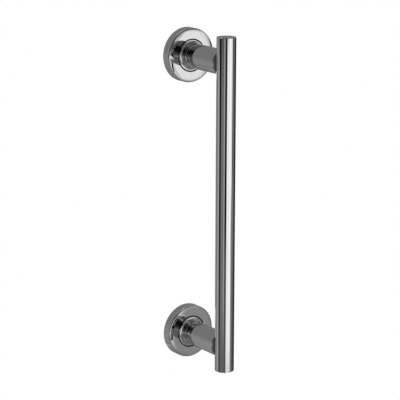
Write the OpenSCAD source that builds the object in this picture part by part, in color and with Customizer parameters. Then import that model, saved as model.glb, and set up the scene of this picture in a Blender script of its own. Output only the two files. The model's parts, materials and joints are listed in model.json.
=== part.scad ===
// Grab rail: a straight round bar on two posts, each with a round concealed-fixing rose.
// Units are millimetres. X is to the right, Y points into the wall, Z is up along the bar.
// The origin lies on the wall plane, midway between the two posts.

/* [Bar] */
// Outside diameter of the bar
bar_d = 19; // [17:0.5:22]
// Distance that the bar runs on past a post's axis, with its end cap
bar_overhang = 25; // [23:0.5:80]
// Wall thickness of the bar's tube
bar_wall = 1.5; // [1:0.1:2.2]
// Thickness of an end cap's head, outside the tube
cap_head = 1.5; // [1:0.1:3]
// Length of an end cap's plug, inside the tube
cap_plug = 8; // [4:0.5:9]
// Break on the outer edge of an end cap
cap_edge = 0.3; // [0.1:0.1:0.6]

/* [Posts] */
// Distance between the axes of the two posts
post_centres = 282; // [150:1:600]
// Distance from the wall to the axis of the bar
bar_standoff = 67; // [60:0.5:90]
// Diameter of the straight part of a post
post_d = 24.4; // [23:0.1:27]
// Diameter of a post's neck, where it stands on its collar
neck_d = 19.8; // [18.6:0.1:21.6]
// Length over which the neck widens to the post's full diameter
flare_length = 11; // [8:0.5:13]
// Radius of the hollow curve in which the neck widens
flare_radius = 50; // [50:1:200]
// Depth of the groove in the post's end that the bar lies in
saddle_depth = 4.5; // [3:0.5:6.5]
// Break on the rim of a post's end
post_edge = 0.4; // [0.1:0.1:0.6]

/* [Roses] */
// Outside diameter of a rose cover
rose_d = 53.5; // [52:0.5:60]
// Height of a rose cover's face above the wall
rose_height = 10.4; // [9.6:0.1:12]
// Wall thickness of a rose cover
cover_wall = 1.3; // [0.8:0.1:1.8]
// Radius of the rounded front edge of a rose cover
cover_round = 1.5; // [0.8:0.1:2]
// Radius out to which a rose cover's face is flat
face_flat_r = 20; // [18:0.5:22]
// Radius of the slight crown of a rose cover's face outside its flat part
face_crown = 65; // [50:1:150]
// Diameter of the collar that shows in the rose cover's hole
collar_d = 30.4; // [29.8:0.1:31]
// Flat rim around the collar's cove, level with the rose cover's face
collar_rim = 0.65; // [0.5:0.05:0.9]
// Step from the collar's rim up to its cove
cove_step = 0.05; // [0.02:0.01:0.1]
// Land around the post's neck on top of the collar
collar_land = 0.6; // [0.5:0.1:0.8]
// Break on the collar's lower and upper edges
collar_edge = 0.3; // [0.1:0.05:0.4]

/* [Base plates] */
// Thickness of the pad between a base plate and the wall
pad_t = 0.8; // [0.5:0.1:1.5]
// Thickness of a base plate
plate_t = 3.5; // [3.2:0.1:4.2]
// Diameter of the wall screws' holes in a base plate
wall_screw_hole_d = 4.5; // [4:0.1:5]
// Diameter of the countersink for a wall screw's head
wall_screw_head_d = 8; // [7:0.1:8.2]
// Thickness of the sealing ring that grips a rose cover
ring_t = 1.5; // [1.2:0.1:1.8]

/* [Fixings] */
// Diameter of the spigot behind a post
spigot_d = 14; // [13:0.1:14.6]
// Tapping diameter of the fixing hole in a spigot
fixing_hole_d = 6.8; // [5:0.1:6.8]
// Depth of the fixing hole
fixing_hole_depth = 22; // [16:0.5:26]
// Diameter of the stud that holds the bar to a post
stud_d = 8; // [6:0.5:8]
// Length of the stud inside the post, below the bar
stud_hold = 17; // [10:0.5:20]
// Distance that the stud reaches past the bar's axis
stud_reach = 4; // [2:0.5:5]
// Length of the threaded insert inside the bar
insert_length = 24; // [16:0.5:26]
// Diameter of the set screw that locks a post in its collar
set_screw_d = 5; // [4:0.5:5]
// Length of the set screw
set_screw_length = 7.5; // [5:0.5:8]
// Width across the flats of the set screw's socket
set_screw_socket = 2.5; // [2:0.1:2.5]
// Diameter of the screws that hold a collar on its base plate
collar_screw_d = 3; // [2.5:0.1:3]
// Length of the collar screws
collar_screw_length = 8; // [6.5:0.5:9]
// Diameter of a collar screw's countersunk head
collar_screw_head_d = 5.6; // [5:0.1:6]

/* [Clearances] */
// Gap between the bar and the groove that it lies in
saddle_gap = 0.05; // [0.02:0.01:0.15]
// Radial gap around the plugs and inserts inside the bar
plug_gap = 0.05; // [0.02:0.01:0.15]
// Radial gap around the threads and the spigot
thread_gap = 0.05; // [0.02:0.01:0.15]
// Radial gap around the stud where it passes through the tube's wall
stud_pass_gap = 0.3; // [0.1:0.1:0.8]
// Gap between the collar and the rose cover's hole
cover_gap = 1.2; // [0.8:0.1:1.4]
// Radial gap on each side of the sealing ring, to its groove and to the rose cover
ring_gap = 0.05; // [0.02:0.01:0.1]
// Radial gap between the base plate and the rose cover
plate_gap = 0.4; // [0.3:0.1:0.8]
// Gap between a rose cover's skirt and the wall
skirt_gap = 0.3; // [0.2:0.1:0.8]

/* [Hidden] */
$fn = 96;
eps = 0.01;
bar_r = bar_d / 2;
tube_r = bar_r - bar_wall;
bar_length = post_centres + 2 * bar_overhang;
tube_length = bar_length - 2 * cap_head;
post_r = post_d / 2;
neck_r = neck_d / 2;
spigot_r = spigot_d / 2;
bore_r = spigot_r + thread_gap;
bar_back = bar_standoff - bar_r;
post_end = bar_back + saddle_depth;
plate_top = pad_t + plate_t;
cover_r = rose_d / 2;
cover_inner_r = cover_r - cover_wall;
collar_r = collar_d / 2;
collar_top_r = neck_r + collar_land;
cove_start_r = collar_r - collar_rim;
cove_r = cove_start_r - collar_top_r;
collar_height = rose_height + cove_step + cove_r;
plate_r = cover_inner_r - plate_gap;
ring_centre_r = cover_inner_r - ring_gap - ring_t / 2;
groove_r = ring_centre_r - ring_t / 2 - ring_gap;
wall_screw_circle_r = (collar_r + groove_r) / 2;
collar_screw_circle_r = (bore_r + collar_r) / 2;
set_screw_height = (plate_top + rose_height) / 2;
set_screw_start = spigot_r - 0.55;
set_screw_groove_r = set_screw_start - thread_gap;
// Angles around a post's axis; 90 is straight up
wall_screw_angles = [90, 210, 330];
collar_screw_angles = [30, 150, 270];
set_screw_angle = 90;

// Puts a shape whose +Z points away from the wall onto the upper (1) or lower (-1) post's axis.
module at_post(end) {
    translate([0, 0, end * post_centres / 2])
        rotate([90, 0, 0])
            children();
}

// Repeats a shape at the given angles on a circle around the post's axis.
module around(angles, circle_r) {
    for (angle = angles)
        rotate([0, 0, angle])
            translate([circle_r, 0, 0])
                children();
}

// A countersunk hole or head: a cone from the given diameter down to the shank, then the shank.
module countersunk(head_d, shank_d, length) {
    cone_height = (head_d - shank_d) / 2;
    cylinder(h = cone_height, d1 = head_d, d2 = shank_d);
    cylinder(h = length, d = shank_d);
}

// The bar: a plain tube with a hole in its back for each stud.
module bar_tube() {
    color("silver")
        difference() {
            translate([0, -bar_standoff, 0])
                cylinder(h = tube_length, r = bar_r, center = true);
            translate([0, -bar_standoff, 0])
                cylinder(h = tube_length + 2 * eps, r = tube_r, center = true);
            for (end = [-1, 1])
                at_post(end)
                    translate([0, 0, bar_back - bar_wall])
                        cylinder(h = bar_r, r = stud_d / 2 + stud_pass_gap);
        }
}

// An end cap: a flush head over the tube's end, with a plug inside the tube.
module end_cap(end) {
    color("silver")
        translate([0, -bar_standoff, 0])
            mirror([0, 0, end < 0 ? 1 : 0])
                translate([0, 0, tube_length / 2])
                    rotate_extrude()
                        polygon([
                            [0, -cap_plug],
                            [tube_r - plug_gap, -cap_plug],
                            [tube_r - plug_gap, 0],
                            [bar_r, 0],
                            [bar_r, cap_head - cap_edge],
                            [bar_r - cap_edge, cap_head],
                            [0, cap_head]
                        ]);
}

// A solid round insert inside the bar, tapped across for the stud.
module bar_insert(end) {
    color("darkgray")
        difference() {
            translate([0, -bar_standoff, end * post_centres / 2])
                cylinder(h = insert_length, r = tube_r - plug_gap, center = true);
            at_post(end)
                translate([0, 0, bar_back])
                    cylinder(h = bar_r + stud_reach + thread_gap, r = stud_d / 2 + thread_gap);
        }
}

// The stud that pulls the bar into the post's groove.
module stud(end) {
    color("darkgray")
        at_post(end)
            translate([0, 0, bar_back - stud_hold])
                cylinder(h = stud_hold + bar_r + stud_reach, d = stud_d);
}

// Outline of a post from its axis outwards, with the spigot behind and the flared neck in front.
module post_outline() {
    groove_half = set_screw_d / 2 + thread_gap;
    flare_width = post_r - neck_r;
    chord = norm([flare_width, flare_length]);
    reach = sqrt(pow(flare_radius, 2) - pow(chord / 2, 2)) / chord;
    difference() {
        polygon([
            [0, 0],
            [spigot_r, 0],
            [spigot_r, set_screw_height - groove_half],
            [set_screw_groove_r, set_screw_height - groove_half],
            [set_screw_groove_r, set_screw_height + groove_half],
            [spigot_r, set_screw_height + groove_half],
            [spigot_r, collar_height],
            [post_r, collar_height],
            [post_r, post_end - post_edge],
            [post_r - post_edge, post_end],
            [0, post_end]
        ]);
        translate([neck_r + flare_width / 2 + reach * flare_length,
                   collar_height + flare_length / 2 - reach * flare_width])
            circle(r = flare_radius, $fn = 4 * $fn);
    }
}

// A post: turned from solid bar, grooved at its end for the rail, tapped front and back.
module post(end) {
    color("gainsboro")
        at_post(end)
            difference() {
                rotate_extrude() post_outline();
                translate([0, 0, -eps])
                    cylinder(h = fixing_hole_depth + eps, d = fixing_hole_d);
                translate([0, 0, bar_back - stud_hold - thread_gap])
                    cylinder(h = stud_hold + bar_r, r = stud_d / 2 + thread_gap);
                translate([0, 0, bar_standoff])
                    rotate([90, 0, 0])
                        cylinder(h = 2 * post_d, r = bar_r + saddle_gap, center = true);
            }
}

// Outline of a collar: a flat rim level with the rose's face, and a hollow cove up to the neck.
module collar_outline() {
    difference() {
        polygon([
            [bore_r, plate_top],
            [collar_r, plate_top],
            [collar_r, rose_height - collar_edge],
            [collar_r - collar_edge, rose_height],
            [cove_start_r, rose_height],
            [cove_start_r, rose_height + 2 * cove_step],
            [collar_top_r + collar_edge, collar_height - 2 * collar_edge],
            [collar_top_r - collar_edge, collar_height],
            [bore_r, collar_height]
        ]);
        translate([cove_start_r, collar_height])
            circle(r = cove_r);
    }
}

// The collar that centres the post and shows in the rose cover's hole.
module collar(end) {
    color("silver")
        at_post(end)
            difference() {
                rotate_extrude() collar_outline();
                translate([0, 0, set_screw_height])
                    rotate([0, 0, set_screw_angle])
                        rotate([0, 90, 0])
                            cylinder(h = rose_d, r = set_screw_d / 2 + thread_gap);
                around(collar_screw_angles, collar_screw_circle_r)
                    translate([0, 0, pad_t])
                        cylinder(h = collar_screw_length + thread_gap,
                                 r = collar_screw_d / 2 + thread_gap);
            }
}

// The set screw that locks the spigot in the collar, with a hexagon socket.
module set_screw(end) {
    color("dimgray")
        at_post(end)
            translate([0, 0, set_screw_height])
                rotate([0, 0, set_screw_angle])
                    rotate([0, 90, 0])
                        translate([0, 0, set_screw_start])
                            difference() {
                                cylinder(h = set_screw_length, d = set_screw_d);
                                translate([0, 0, set_screw_length / 2])
                                    cylinder(h = set_screw_length,
                                             d = set_screw_socket / cos(30), $fn = 6);
                            }
}

// The three screws that hold the collar on the base plate, from behind.
module collar_screws(end) {
    color("dimgray")
        at_post(end)
            around(collar_screw_angles, collar_screw_circle_r)
                translate([0, 0, pad_t])
                    countersunk(collar_screw_head_d, collar_screw_d, collar_screw_length);
}

// The base plate that is screwed to the wall, grooved at its rim for the sealing ring.
module base_plate(end) {
    groove_half = ring_t / 2 + thread_gap;
    color("lightsteelblue")
        at_post(end)
            difference() {
                translate([0, 0, pad_t]) cylinder(h = plate_t, r = plate_r);
                translate([0, 0, pad_t - eps])
                    cylinder(h = plate_t + 2 * eps, r = bore_r);
                around(wall_screw_angles, wall_screw_circle_r)
                    translate([0, 0, plate_top + eps])
                        mirror([0, 0, 1])
                            countersunk(wall_screw_head_d, wall_screw_hole_d, 2 * plate_t);
                around(collar_screw_angles, collar_screw_circle_r)
                    translate([0, 0, pad_t - thread_gap])
                        countersunk(collar_screw_head_d + 2 * thread_gap,
                                    collar_screw_d + 2 * thread_gap, 2 * plate_t);
                translate([0, 0, pad_t + plate_t / 2 - groove_half])
                    difference() {
                        cylinder(h = 2 * groove_half, r = rose_d);
                        translate([0, 0, -eps])
                            cylinder(h = 2 * groove_half + 2 * eps, r = groove_r);
                    }
            }
}

// The pad that keeps the base plate off the wall, clear of the spigot and the wall screws.
module wall_pad(end) {
    color("dimgray")
        at_post(end)
            difference() {
                cylinder(h = pad_t, r = plate_r);
                translate([0, 0, -eps])
                    cylinder(h = pad_t + 2 * eps, r = bore_r + thread_gap);
                around(wall_screw_angles, wall_screw_circle_r)
                    translate([0, 0, -eps])
                        cylinder(h = pad_t + 2 * eps, d = wall_screw_hole_d);
            }
}

// The rubber ring in the base plate's groove that grips the rose cover.
module sealing_ring(end) {
    color("black")
        at_post(end)
            translate([0, 0, pad_t + plate_t / 2])
                rotate_extrude()
                    translate([ring_centre_r, 0])
                        circle(d = ring_t);
}

// Cross-section of a rose cover: a crowned disc with a turned-down skirt and a rounded edge.
module cover_section() {
    hole_r = collar_r + cover_gap;
    round_r = cover_r - cover_round;
    crown_width = round_r - face_flat_r;
    crown_drop = face_crown - sqrt(pow(face_crown, 2) - pow(crown_width, 2));
    round_height = rose_height - crown_drop - cover_round;
    difference() {
        intersection() {
            union() {
                square([cover_r, round_height]);
                square([round_r, rose_height]);
                translate([round_r, round_height])
                    circle(r = cover_round);
            }
            union() {
                square([face_flat_r, rose_height]);
                translate([face_flat_r, rose_height - face_crown])
                    circle(r = face_crown, $fn = 4 * $fn);
            }
        }
        square([2 * cover_r, skirt_gap]);
        square([cover_inner_r, rose_height - cover_wall]);
        square([hole_r, 2 * rose_height]);
    }
}

// The rose cover: a loose shell that pushes onto the base plate and hides the wall screws.
module rose_cover(end) {
    color("silver")
        at_post(end)
            rotate_extrude() cover_section();
}

bar_tube();
end_cap(1);  // upper_end_cap
end_cap(-1);  // lower_end_cap
bar_insert(1);  // upper_bar_insert
bar_insert(-1);  // lower_bar_insert
stud(1);  // upper_stud
stud(-1);  // lower_stud
post(1);  // upper_post
post(-1);  // lower_post
collar(1);  // upper_collar
collar(-1);  // lower_collar
set_screw(1);  // upper_set_screw
set_screw(-1);  // lower_set_screw
collar_screws(1);  // upper_collar_screws
collar_screws(-1);  // lower_collar_screws
base_plate(1);  // upper_base_plate
base_plate(-1);  // lower_base_plate
wall_pad(1);  // upper_wall_pad
wall_pad(-1);  // lower_wall_pad
sealing_ring(1);  // upper_sealing_ring
sealing_ring(-1);  // lower_sealing_ring
rose_cover(1);  // upper_rose_cover
rose_cover(-1);  // lower_rose_cover
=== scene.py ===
"""Grab rail: a chrome bar on two posts with round roses, seen from the left and a little above."""
import json
import math

import bmesh
import bpy
from mathutils import Matrix, Vector


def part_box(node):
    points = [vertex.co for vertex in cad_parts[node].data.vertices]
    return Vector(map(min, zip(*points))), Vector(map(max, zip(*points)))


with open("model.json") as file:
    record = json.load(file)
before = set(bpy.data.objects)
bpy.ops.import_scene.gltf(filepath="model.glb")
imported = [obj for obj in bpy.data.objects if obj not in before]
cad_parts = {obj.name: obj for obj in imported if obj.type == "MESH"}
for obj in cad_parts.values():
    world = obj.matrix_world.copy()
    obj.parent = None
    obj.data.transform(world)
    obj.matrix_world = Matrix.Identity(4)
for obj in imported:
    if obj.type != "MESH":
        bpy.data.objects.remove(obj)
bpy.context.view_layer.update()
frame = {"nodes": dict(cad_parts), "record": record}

MM = 0.001

# Camera, as a photographer would state it: where it aims, from where, and through which lens.
# Angles are in degrees, with azimuth 0 in front of the rail and 90 at its right side.
AIM = Vector((-3.55, -30.0, 0.37)) * MM
VIEW_AZIMUTH = -35.73
VIEW_ELEVATION = 13.9
VIEW_ROLL = 0.17
VIEW_DISTANCE = 1.692
SENSOR = 36.0
LENS = 154.9

# Finishes, as linear colours.
CHROME = 0.82
TURNED_STEEL = (0.55, 0.55, 0.56)
BLACK_STEEL = (0.12, 0.12, 0.13)
ZINC = (0.62, 0.64, 0.66)
PAD_RUBBER = (0.10, 0.10, 0.10)
SEAL_RUBBER = (0.03, 0.03, 0.03)

# Least roughness of the buffed chrome, and of the chrome in the turned coves of the collars.
FACE_POLISH = 0.02
COVE_POLISH = 0.12
# What haze and hairlines each add to the roughness of chrome, and what haze takes off its level.
HAZE_ROUGHNESS = 0.02
HAIRLINE_ROUGHNESS = 0.02
HAZE_LOSS = 0.02
# Metal that the plate leaves off: its level and roughness inside the roses, and on cut ends.
# Inside the roses the level is near black: painted shade for the gap and the hollow under the
# cover.
PRESSED_METAL_AND_SHADE_LEVEL = 0.03
PRESSED_ROUGHNESS = 0.6
CUT_LEVEL = TURNED_STEEL[0]
CUT_ROUGHNESS = 0.36
# How far grain moves a roughness from its lowest to its highest.
GRAIN_SPREAD = 0.2

# Sizes of surface detail, in cells per metre.
HAZE_CELLS = 45.0
HAIRLINE_CELLS = 900.0
STAIN_CELLS = 160.0
RING_CELLS = 900.0
GRAIN_CELLS = 2500.0
FLOOR_CELLS = 6.0
# Scale of the hairlines along each axis: small along Z, so they run long up the rail.
HAIRLINE_STRETCH = (1.0, 1.0, 0.06)

# Radius of the hole in a rose cover, and the thickness of its pressed metal.
COVER_HOLE_R = 16.4 * MM
COVER_WALL = 1.3 * MM
# How far a finish reaches past the edge that it ends on.
EDGE = 0.02 * MM
# How far below the cover's face the plate on a collar's side ends and its painted shade begins.
PLATED_SIDE = 0.2 * MM

# Studio: soft panels and dark flags on a dome round the rail, seen only in its reflections.
DOME_RADIUS = 2.0
STUDIO_LEVEL = 0.08
# Azimuth, elevation, width, height, level, and the softness of its edges; later over earlier.
PANELS = {
    "back_wall": (182, -16, 142, 162, 0.2, 2),
    "back_floor": (-134, -40, 36, 76, 0.3, 40),
    "floor": (10, -59, 168, 68, 0.14, 12),
    "floor_right": (83, -64, 16, 54, 0.45, 2),
    "upper_left_flag": (-65, 39, 108, 58, 0.005, 40),
    "upper_front": (10, 36, 66, 56, 0.1, 2),
    "upper_front_card": (30, 14, 16, 6, 0.7, 2),
    "right_card": (65, 14, 34, 34, 0.3, 2),
    "right_flag": (105, -15, 54, 30, 0.03, 10),
    "left_panel": (-67, -14, 50, 18, 0.18, 8),
    "left_strip": (-51, -11, 10, 20, 0.4, 4),
    "left_edge_flag": (-105, -9, 24, 26, 0, 16),
    "back_edge_strip": (-124, -4, 14, 40, 0.45, 8),
    "slit": (-33, -5, 16, 22, 0, 2),
    "softbox": (5, -12, 52, 26, 1.1, 12),
    "softbox_top": (-3, -10, 12, 22, 0.9, 10),
    "softbox_low_right": (39, -18, 16, 26, 0.28, 12),
    "softbox_right": (38, -5, 14, 16, 0.9, 4),
    "right_strip": (55, -8, 26, 24, 0.2, 12),
    "right_gap": (48, -5, 10, 14, 0, 2),
    "right_wall": (116, 34, 44, 64, 0.45, 10),
    "back_sky": (180, 72, 110, 44, 0.6, 14),
    "back_low": (180, -74, 100, 36, 0.45, 14),
    "right_low": (112, -58, 66, 56, 0.4, 10),
    "ground": (0, -90, 400, 60, 0.2, 12),
    "left_low": (-125, -60, 60, 50, 0.4, 10),
    "left_wall": (-118, 30, 30, 60, 0.4, 10),
    "front_gap": (-20, 8, 22, 22, 0.18, 6),
    "rim_flag": (-119, 0, 12, 10, 0, 4),
    "back_glint": (149, -5, 14, 10, 1.1, 2),
    "back_low_card": (-174, -44, 8, 20, 0.4, 4),
}

# Floor under the rail: a pale disc that is plain in the middle and runs out to white at its rim.
FLOOR_HEIGHT = -0.6
FLOOR_RADIUS = 1.0
FLOOR_PLAIN_RADIUS = 0.45
FLOOR_PALE = 0.86
FLOOR_MOTTLE = 0.03
# Daylight from all round, and a soft lamp far overhead that gives the floor its shadow.
DAYLIGHT = 0.7
LAMP_FROM = Vector((-0.12, -0.2, 1.0))
LAMP_SPREAD = 5.0
LAMP_STRENGTH = 0.9


class Tree:
    """A node tree on a material or world, with short calls for the nodes used here."""

    def __init__(self, owner):
        owner.use_nodes = True
        self.tree = owner.node_tree
        self.tree.nodes.clear()

    def node(self, kind, inputs=None, **attributes):
        """A new node with these attributes, and its inputs linked or set."""
        node = self.tree.nodes.new(kind)
        for name, value in attributes.items():
            setattr(node, name, value)
        for name, value in (inputs or {}).items():
            self.feed(node.inputs[name], value)
        return node

    def feed(self, socket, value):
        """Links an output to the socket, or writes a constant on it."""
        if isinstance(value, bpy.types.NodeSocket):
            self.tree.links.new(value, socket)
        else:
            socket.default_value = value

    def math(self, operation, first, second=None, third=None):
        """The result of one sum on up to three numbers."""
        node = self.tree.nodes.new("ShaderNodeMath")
        node.operation = operation
        for socket, value in zip(node.inputs, (first, second, third)):
            if value is not None:
                self.feed(socket, value)
        return node.outputs[0]

    def ramp(self, value, start, end, low, high):
        """Goes smoothly from low at start to high at end."""
        return self.node("ShaderNodeMapRange",
                         {"Value": value, "From Min": start, "From Max": end,
                          "To Min": low, "To Max": high},
                         interpolation_type="SMOOTHSTEP").outputs["Result"]

    def blend(self, factor, first, second):
        """A number that goes from first to second with the factor."""
        node = self.node("ShaderNodeMix", data_type="FLOAT")
        for index, value in ((0, factor), (2, first), (3, second)):
            self.feed(node.inputs[index], value)
        return node.outputs[0]

    def tint(self, factor, colour, share):
        """A colour that darkens to this share of itself with the factor."""
        node = self.node("ShaderNodeMix", data_type="RGBA")
        darker = rgba([share * part for part in colour])
        for index, value in ((0, factor), (6, rgba(colour)), (7, darker)):
            self.feed(node.inputs[index], value)
        return node.outputs[2]

    def grey(self, level):
        """A grey of this level."""
        channels = {"Red": level, "Green": level, "Blue": level}
        return self.node("ShaderNodeCombineColor", channels).outputs[0]

    def place(self):
        """The point on the surface, in the object's own frame."""
        return self.node("ShaderNodeTexCoord").outputs["Object"]

    def noise(self, scale, detail=2.0, stretch=None):
        """Noise over the object, in cells per metre; stretch squeezes it along the axes."""
        vector = self.place()
        if stretch:
            vector = self.node("ShaderNodeMapping",
                               {"Vector": vector, "Scale": stretch}).outputs[0]
        settings = {"Vector": vector, "Scale": scale, "Detail": detail}
        return self.node("ShaderNodeTexNoise", settings).outputs["Fac"]

    def bump(self, height, strength, distance):
        """A normal that follows this height, up to distance metres."""
        settings = {"Height": height, "Strength": strength, "Distance": distance}
        return self.node("ShaderNodeBump", settings).outputs["Normal"]

    def surface(self, **inputs):
        """A Principled shader with these inputs, put out as the material's surface."""
        named = {name.replace("_", " "): value for name, value in inputs.items()}
        self.show(self.node("ShaderNodeBsdfPrincipled", named))

    def show(self, shader, kind="ShaderNodeOutputMaterial"):
        """Puts the shader out as the surface."""
        self.node(kind, {"Surface": shader.outputs[0]})


def material(name):
    made = bpy.data.materials.new(name)
    return made, Tree(made)


def rgba(colour):
    return (*colour, 1.0)


def radius_and_height(tree, node):
    """Distance from a round node's axis, and distance from the wall, at each point."""
    low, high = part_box(node)
    point = tree.node("ShaderNodeSeparateXYZ", {"Vector": tree.place()})
    across = tree.math("SUBTRACT", point.outputs["X"], (low[0] + high[0]) / 2)
    upward = tree.math("SUBTRACT", point.outputs["Z"], (low[2] + high[2]) / 2)
    squares = tree.math("ADD", tree.math("MULTIPLY", across, across),
                        tree.math("MULTIPLY", upward, upward))
    return tree.math("SQRT", squares), tree.math("MULTIPLY", point.outputs["Y"], -1.0)


def chrome(name, polish=FACE_POLISH, bare=None, bare_and_shade_level=PRESSED_METAL_AND_SHADE_LEVEL,
           bare_roughness=PRESSED_ROUGHNESS):
    """Polished chrome plate; where bare(tree) is 1, it is metal that the plate leaves off; its
    default level there is near black, painted shade for the insides of the roses.
    """
    made, tree = material(name)
    haze = tree.ramp(tree.noise(HAZE_CELLS, 4.0), 0.45, 0.75, 0.0, 1.0)
    hairlines = tree.ramp(tree.noise(HAIRLINE_CELLS, 3.0, HAIRLINE_STRETCH), 0.5, 0.8, 0.0, 1.0)
    roughness = tree.math("ADD", tree.math("MULTIPLY", haze, HAZE_ROUGHNESS),
                          tree.math("MULTIPLY", hairlines, HAIRLINE_ROUGHNESS))
    roughness = tree.math("ADD", roughness, polish)
    level = tree.math("SUBTRACT", CHROME, tree.math("MULTIPLY", haze, HAZE_LOSS))
    if bare:
        share = bare(tree)
        grain = tree.noise(GRAIN_CELLS, 3.0)
        # Inside the roses and on the collars' sides this level is near black: painted shade, not
        # the bare metal's own colour.
        grained_level = tree.math("MULTIPLY", grain, 2.0 * bare_and_shade_level)
        grained_roughness = tree.math("MULTIPLY_ADD", grain, GRAIN_SPREAD,
                                      bare_roughness - GRAIN_SPREAD / 2)
        level = tree.blend(share, level, grained_level)
        roughness = tree.blend(share, roughness, grained_roughness)
    tree.surface(Base_Color=tree.grey(level), Metallic=1.0, Roughness=roughness,
                 Normal=tree.bump(hairlines, 0.02, 0.02 * MM))
    return made


def cover_chrome(node):
    """Chrome outside; the pressed shell's inside and the edge of its hole are dull, with painted
    shade that makes them near black.
    """
    low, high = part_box(node)
    face_height = -low[1]
    inner_r = (high[0] - low[0]) / 2 - COVER_WALL

    # Mask for the painted shade: the shell's inside and the wall of its hole.
    def inside(tree):
        radius, height = radius_and_height(tree, node)
        under_face = tree.math("LESS_THAN", height, face_height - COVER_WALL + EDGE)
        within = tree.math("LESS_THAN", radius, inner_r + EDGE)
        below_rim = tree.math("LESS_THAN", height, face_height - EDGE)
        at_hole = tree.math("LESS_THAN", radius, COVER_HOLE_R + EDGE)
        return tree.math("MAXIMUM", tree.math("MULTIPLY", within, under_face),
                         tree.math("MULTIPLY", at_hole, below_rim))

    return chrome(node + "_chrome", bare=inside)


def collar_chrome(node, cover):
    """Chrome where it shows; its turned side, down inside the cover, is dull, with painted shade
    that makes it near black.
    """
    low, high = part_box(node)
    side_r = (high[0] - low[0]) / 2
    cover_face = -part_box(cover)[0][1]

    # Mask for the painted shade on the side, down in the gap under the cover.
    def side(tree):
        radius, height = radius_and_height(tree, node)
        return tree.math("MULTIPLY", tree.math("GREATER_THAN", radius, side_r - EDGE),
                         tree.math("LESS_THAN", height, cover_face - PLATED_SIDE))

    return chrome(node + "_chrome", COVE_POLISH, side)


def post_chrome(node, collar):
    """Chrome on the body; the spigot and the end cut for the bar are bare steel."""
    collar_top = -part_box(collar)[0][1]
    end = -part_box(node)[0][1]

    def machined(tree):
        height = radius_and_height(tree, node)[1]
        spigot = tree.math("LESS_THAN", height, collar_top - EDGE)
        cut = tree.math("GREATER_THAN", height, end - EDGE)
        return tree.math("MAXIMUM", spigot, cut)

    return chrome(node + "_chrome", bare=machined, bare_and_shade_level=CUT_LEVEL,
                  bare_roughness=CUT_ROUGHNESS)


def turned_steel():
    """Bright steel with the fine rings that a lathe leaves."""
    made, tree = material("turned_steel")
    rings = tree.node("ShaderNodeTexWave",
                      {"Vector": tree.place(), "Scale": RING_CELLS, "Distortion": 1.5,
                       "Detail": 2.0}, bands_direction="Y").outputs["Fac"]
    stain = tree.ramp(tree.noise(STAIN_CELLS, 3.0), 0.35, 0.7, 0.0, 1.0)
    tree.surface(Base_Color=tree.tint(stain, TURNED_STEEL, 0.86), Metallic=1.0,
                 Roughness=tree.math("MULTIPLY_ADD", rings, 0.12, 0.24),
                 Normal=tree.bump(rings, 0.25, 0.03 * MM))
    return made


def mottled(name, colour, dark_share, metallic, roughness, grain_cells, bump_depth):
    """A plain finish broken up by its grain: lighter and darker spots, and an uneven skin."""
    made, tree = material(name)
    spots = tree.noise(grain_cells, 5.0)
    patches = tree.ramp(tree.noise(grain_cells / 12.0, 3.0), 0.3, 0.7, 0.0, 1.0)
    tree.surface(Base_Color=tree.tint(tree.math("MULTIPLY", spots, patches), colour, dark_share),
                 Metallic=metallic,
                 Roughness=tree.math("MULTIPLY_ADD", spots, GRAIN_SPREAD,
                                     roughness - GRAIN_SPREAD / 2),
                 Normal=tree.bump(spots, 0.4, bump_depth))
    return made


def dress_nodes():
    """Gives every CAD node its material."""
    plain = {
        "polished_chrome": chrome("polished_chrome"),
        "turned_steel": turned_steel(),
        "black_steel": mottled("black_steel", BLACK_STEEL, dark_share=0.6, metallic=1.0,
                               roughness=0.42, grain_cells=1500.0, bump_depth=0.02 * MM),
        "zinc_plate": mottled("zinc_plate", ZINC, dark_share=0.85, metallic=0.6,
                              roughness=0.38, grain_cells=1200.0, bump_depth=0.02 * MM),
        "pad": mottled("pad", PAD_RUBBER, dark_share=0.6, metallic=0.0,
                       roughness=0.85, grain_cells=1800.0, bump_depth=0.08 * MM),
        "seal_rubber": mottled("seal_rubber", SEAL_RUBBER, dark_share=0.7, metallic=0.0,
                               roughness=0.6, grain_cells=2500.0, bump_depth=0.03 * MM),
    }
    slots = {part["node"]: part["material_slot"] for part in frame["record"]["subparts"]}
    special = {}
    for end in ("upper", "lower"):
        cover, collar, post = end + "_rose_cover", end + "_collar", end + "_post"
        special[cover] = cover_chrome(cover)
        special[collar] = collar_chrome(collar, cover)
        special[post] = post_chrome(post, collar)
    for name, obj in frame["nodes"].items():
        obj.data.materials.clear()
        obj.data.materials.append(special.get(name) or plain[slots[name]])


def studio_material():
    """The dome's light by direction: each panel fades in over what lies behind it."""
    made, tree = material("studio_panels")
    outward = tree.node("ShaderNodeVectorMath", {0: tree.place()}, operation="NORMALIZE")
    point = tree.node("ShaderNodeSeparateXYZ", {"Vector": outward.outputs[0]})
    front = tree.math("MULTIPLY", point.outputs["Y"], -1.0)
    azimuth = tree.math("DEGREES", tree.math("ARCTAN2", point.outputs["X"], front))
    elevation = tree.math("DEGREES", tree.math("ARCSINE", point.outputs["Z"]))
    level = STUDIO_LEVEL
    for centre_azimuth, centre_elevation, width, height, panel_level, soft in PANELS.values():
        turn = tree.math("SUBTRACT", azimuth, centre_azimuth)
        aside = tree.math("ABSOLUTE", tree.math("WRAP", turn, 180.0, -180.0))
        above = tree.math("ABSOLUTE", tree.math("SUBTRACT", elevation, centre_elevation))
        across = tree.ramp(aside, (width - soft) / 2, (width + soft) / 2, 1.0, 0.0)
        upward = tree.ramp(above, (height - soft) / 2, (height + soft) / 2, 1.0, 0.0)
        level = tree.blend(tree.math("MULTIPLY", across, upward), level, panel_level)
    tree.show(tree.node("ShaderNodeEmission", {"Color": tree.grey(level), "Strength": 1.0}))
    return made


def new_object(name, data):
    obj = bpy.data.objects.new(name, data)
    bpy.context.scene.collection.objects.link(obj)
    return obj


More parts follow.
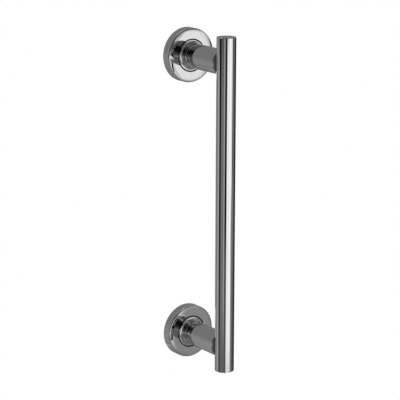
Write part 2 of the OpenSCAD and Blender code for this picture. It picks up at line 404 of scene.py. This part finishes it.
def studio_dome():
    """The panels round the rail: they show in polished metal, but neither light nor hide it."""
    mesh = bpy.data.meshes.new("studio_dome")
    shell = bmesh.new()
    bmesh.ops.create_uvsphere(shell, u_segments=96, v_segments=48, radius=DOME_RADIUS)
    shell.to_mesh(mesh)
    shell.free()
    mesh.materials.append(studio_material())
    dome = new_object("studio_dome", mesh)
    dome.visible_camera = False
    dome.visible_diffuse = False
    dome.visible_shadow = False


def floor():
    """A pale floor below the rail, white at its rim, where it meets the white background."""
    mesh = bpy.data.meshes.new("floor")
    disc = bmesh.new()
    bmesh.ops.create_circle(disc, cap_ends=True, radius=FLOOR_RADIUS, segments=128)
    disc.to_mesh(mesh)
    disc.free()
    made, tree = material("pale_floor")
    distance = tree.node("ShaderNodeVectorMath", {0: tree.place()}, operation="LENGTH")
    rim = tree.ramp(distance.outputs["Value"], FLOOR_PLAIN_RADIUS, FLOOR_RADIUS, 0.0, 1.0)
    tone = tree.math("MULTIPLY_ADD", tree.noise(FLOOR_CELLS, 3.0), FLOOR_MOTTLE,
                     FLOOR_PALE - FLOOR_MOTTLE / 2)
    matte = tree.node("ShaderNodeBsdfDiffuse", {"Color": tree.grey(tone)})
    white = tree.node("ShaderNodeEmission", {"Color": rgba((1, 1, 1)), "Strength": 1.0})
    tree.show(tree.node("ShaderNodeMixShader",
                        {0: rim, 1: matte.outputs[0], 2: white.outputs[0]}))
    mesh.materials.append(made)
    ground = new_object("floor", mesh)
    ground.location.z = FLOOR_HEIGHT
    ground.visible_glossy = False


def light():
    """Plain white daylight from all round, and a soft lamp overhead for the floor's shadow."""
    world = bpy.data.worlds.new("daylight")
    bpy.context.scene.world = world
    tree = Tree(world)
    path = tree.node("ShaderNodeLightPath")
    seen = tree.math("MAXIMUM", path.outputs["Is Glossy Ray"],
                     path.outputs["Is Transmission Ray"])
    seen = tree.math("MAXIMUM", path.outputs["Is Camera Ray"], seen)
    sky = tree.node("ShaderNodeBackground",
                    {"Color": rgba((1, 1, 1)), "Strength": tree.blend(seen, DAYLIGHT, 1.0)})
    tree.show(sky, "ShaderNodeOutputWorld")
    lamp = bpy.data.lights.new("lamp", "SUN")
    lamp.angle = math.radians(LAMP_SPREAD)
    lamp.energy = LAMP_STRENGTH
    obj = new_object("lamp", lamp)
    obj.rotation_euler = (-LAMP_FROM).to_track_quat("-Z", "Y").to_euler()
    obj.visible_glossy = False


def camera():
    """The photograph's view: turned about the rail, raised, and rolled by a trace."""
    azimuth = math.radians(VIEW_AZIMUTH)
    elevation = math.radians(VIEW_ELEVATION)
    roll = math.radians(VIEW_ROLL)
    back = Vector((math.sin(azimuth) * math.cos(elevation),
                   -math.cos(azimuth) * math.cos(elevation),
                   math.sin(elevation)))
    level_right = (-back).cross(Vector((0, 0, 1))).normalized()
    level_up = level_right.cross(-back)
    right = level_right * math.cos(roll) + level_up * math.sin(roll)
    up = level_up * math.cos(roll) - level_right * math.sin(roll)
    data = bpy.data.cameras.new("camera")
    data.sensor_width = SENSOR
    data.lens = LENS
    obj = new_object("camera", data)
    turn = Matrix((right, up, back)).transposed().to_4x4()
    obj.matrix_world = Matrix.Translation(AIM + back * VIEW_DISTANCE) @ turn
    bpy.context.scene.camera = obj


bpy.context.scene.view_settings.view_transform = "Standard"
dress_nodes()
studio_dome()
floor()
light()
camera()
